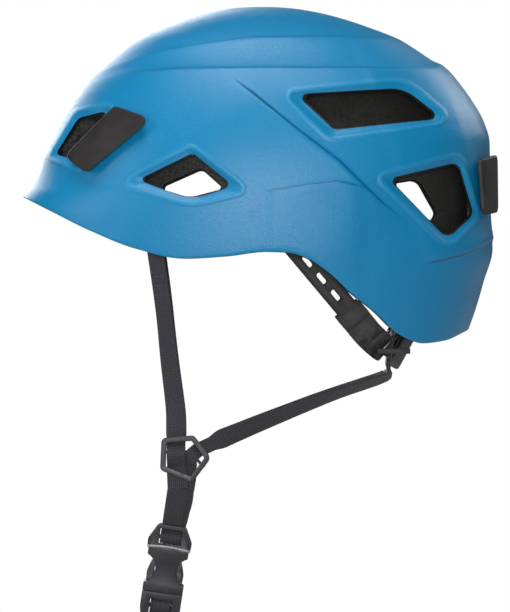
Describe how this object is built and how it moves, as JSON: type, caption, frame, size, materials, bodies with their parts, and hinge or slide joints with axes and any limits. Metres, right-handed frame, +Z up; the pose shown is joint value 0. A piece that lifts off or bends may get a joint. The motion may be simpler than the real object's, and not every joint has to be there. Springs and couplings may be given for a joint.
{
  "type": "climbing helmet",
  "caption": "Vented hard-shell climbing helmet with a foam liner, headlamp clips, a dial-adjusted nape cradle and a buckled chin strap.",
  "frame": {"origin": "centre of the crown pad's flat lower face, where the top of the wearer's head rests", "axes": "+X forward, +Y to the wearer's left, +Z up"},
  "size_m": [0.2805, 0.2074, 0.3857],
  "materials": {
    "shell_plastic": "satin",
    "liner_foam": "matte",
    "clip_plastic": "satin",
    "moulded_nylon": "satin",
    "cradle_nylon": "satin",
    "webbing": "matte",
    "pad_fabric": "matte",
    "screw_steel": "satin"
  },
  "bodies": {
    "helmet": {"band_arm_left": "cradle_nylon", "band_arm_right": "cradle_nylon", "brow_pad": "pad_fabric", "buckle_socket": "moulded_nylon", "chin_strap": "webbing", "crown_pad": "pad_fabric", "foam_liner": "liner_foam", "front_anchor_left": "moulded_nylon", "front_anchor_right": "moulded_nylon", "front_strap_left": "webbing", "front_strap_right": "webbing", "joined_strap_right": "webbing", "lower_strap_inner": "webbing", "lower_strap_outer": "webbing", "outer_shell": "shell_plastic", "rear_anchor_left": "moulded_nylon", "rear_anchor_right": "moulded_nylon", "rear_strap_left": "webbing", "rear_strap_right": "webbing", "temple_pad_left": "pad_fabric", "temple_pad_right": "pad_fabric", "temple_peg_left": "cradle_nylon", "temple_peg_right": "cradle_nylon"},
    "cradle": {"nape_cradle": "cradle_nylon", "ratchet_back": "cradle_nylon", "ratchet_cover": "cradle_nylon", "dial_screw": "screw_steel"},
    "dial": {"dial": "cradle_nylon", "pinion": "cradle_nylon"},
    "rack_right": {"rack_right": "cradle_nylon"},
    "rack_left": {"rack_left": "cradle_nylon"},
    "divider_left": {"divider_left": "moulded_nylon"},
    "divider_right": {"divider_right": "moulded_nylon"},
    "plug": {"buckle_plug": "moulded_nylon"},
    "prong_front": {"prong_front": "moulded_nylon"},
    "prong_rear": {"prong_rear": "moulded_nylon"},
    "brow_clip_left": {"brow_clip_left": "clip_plastic"},
    "rear_clip_left": {"rear_clip_left": "clip_plastic"},
    "brow_clip_right": {"brow_clip_right": "clip_plastic"},
    "rear_clip_right": {"rear_clip_right": "clip_plastic"}
  },
  "joints": [
    {"name": "cradle_slide", "type": "slide", "parent": "helmet", "child": "cradle", "axis": [0.6428, 0, 0.766], "range_m": [-0.0059, 0.0099]},
    {"name": "dial_turn", "type": "hinge", "parent": "cradle", "child": "dial", "pos_m": [-0.087, 0, -0.165], "axis": [-0.8829, 0, -0.4695], "range_deg": [-71, 119]},
    {"name": "rack_right_slide", "type": "slide", "parent": "cradle", "child": "rack_right", "axis": [0, 1, 0], "range_m": [-0.006, 0.01]},
    {"name": "rack_left_slide", "type": "slide", "parent": "cradle", "child": "rack_left", "axis": [0, -1, 0], "range_m": [-0.006, 0.01]},
    {"name": "divider_left_slide", "type": "slide", "parent": "helmet", "child": "divider_left", "axis": [-0.1421, 0.3091, 0.9404], "range_m": [-0.008, 0.012], "deforming": ["front_strap_left", "rear_strap_left", "lower_strap_outer", "lower_strap_inner"]},
    {"name": "divider_right_slide", "type": "slide", "parent": "helmet", "child": "divider_right", "axis": [-0.042, -0.018, 0.999], "range_m": [-0.008, 0.012], "deforming": ["front_strap_right", "rear_strap_right", "chin_strap", "joined_strap_right"]},
    {"name": "plug_release", "type": "slide", "parent": "helmet", "child": "plug", "axis": [0.145, -0.2, -0.969], "range_m": [0, 0.028], "deforming": ["chin_strap", "prong_front", "prong_rear"]},
    {"name": "prong_front_flex", "type": "hinge", "parent": "plug", "child": "prong_front", "pos_m": [0.05923, 0.04806, -0.31549], "axis": [-0.0296, -0.9798, 0.1978], "range_deg": [0, 6], "stiffness_Nm_per_rad": 0.05},
    {"name": "prong_rear_flex", "type": "hinge", "parent": "plug", "child": "prong_rear", "pos_m": [0.044, 0.04806, -0.31777], "axis": [0.0296, 0.9798, -0.1978], "range_deg": [0, 6], "stiffness_Nm_per_rad": 0.05},
    {"name": "brow_clip_left_flex", "type": "hinge", "parent": "helmet", "child": "brow_clip_left", "pos_m": [0.06899, 0.07429, -0.03738], "axis": [0.839, -0.5442, 0], "range_deg": [0, 10], "stiffness_Nm_per_rad": 0.5},
    {"name": "brow_clip_right_flex", "type": "hinge", "parent": "helmet", "child": "brow_clip_right", "pos_m": [0.06899, -0.07429, -0.03738], "axis": [-0.839, -0.5442, 0], "range_deg": [0, 10], "stiffness_Nm_per_rad": 0.5},
    {"name": "rear_clip_left_flex", "type": "hinge", "parent": "helmet", "child": "rear_clip_left", "pos_m": [-0.13824, 0.03307, -0.06099], "axis": [0.2881, 0.9576, 0], "range_deg": [0, 10], "stiffness_Nm_per_rad": 0.5},
    {"name": "rear_clip_right_flex", "type": "hinge", "parent": "helmet", "child": "rear_clip_right", "pos_m": [-0.13824, -0.03307, -0.06099], "axis": [-0.2881, 0.9576, 0], "range_deg": [0, 10], "stiffness_Nm_per_rad": 0.5}
  ],
  "couplings": [
    {"joint": "dial_turn", "follows": "cradle_slide", "rad_per_m": 208.33},
    {"joint": "rack_right_slide", "follows": "cradle_slide", "ratio": 1},
    {"joint": "rack_left_slide", "follows": "cradle_slide", "ratio": 1}
  ]
}
